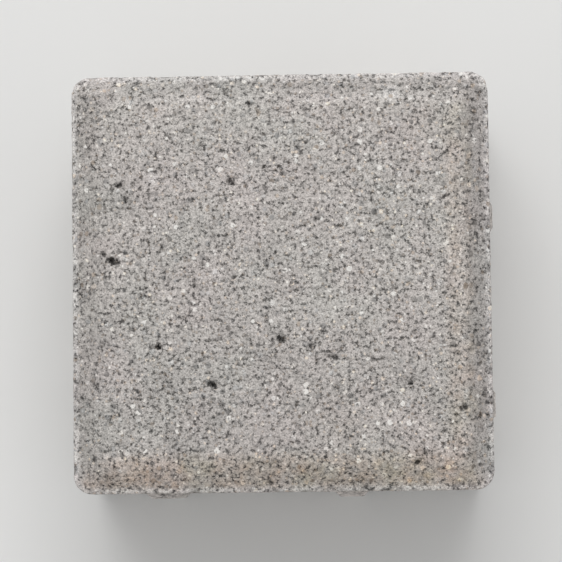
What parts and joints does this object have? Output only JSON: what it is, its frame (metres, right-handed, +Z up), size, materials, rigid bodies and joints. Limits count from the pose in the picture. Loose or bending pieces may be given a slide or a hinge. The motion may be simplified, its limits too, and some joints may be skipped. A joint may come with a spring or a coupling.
{
  "type": "concrete paving stone",
  "caption": "Square grey concrete block paver with a bevelled wearing face, rounded upright corners and spacer ribs down its sides.",
  "frame": {"origin": "middle of the flat bed face, on the surface that the stone lies on", "axes": "+Z up out of the wearing face; +X and +Y square out of two side walls"},
  "size_m": [0.1014, 0.1014, 0.06],
  "materials": {
    "concrete": "matte"
  },
  "bodies": {
    "root": {"paving_stone": "concrete"}
  },
  "joints": []
}
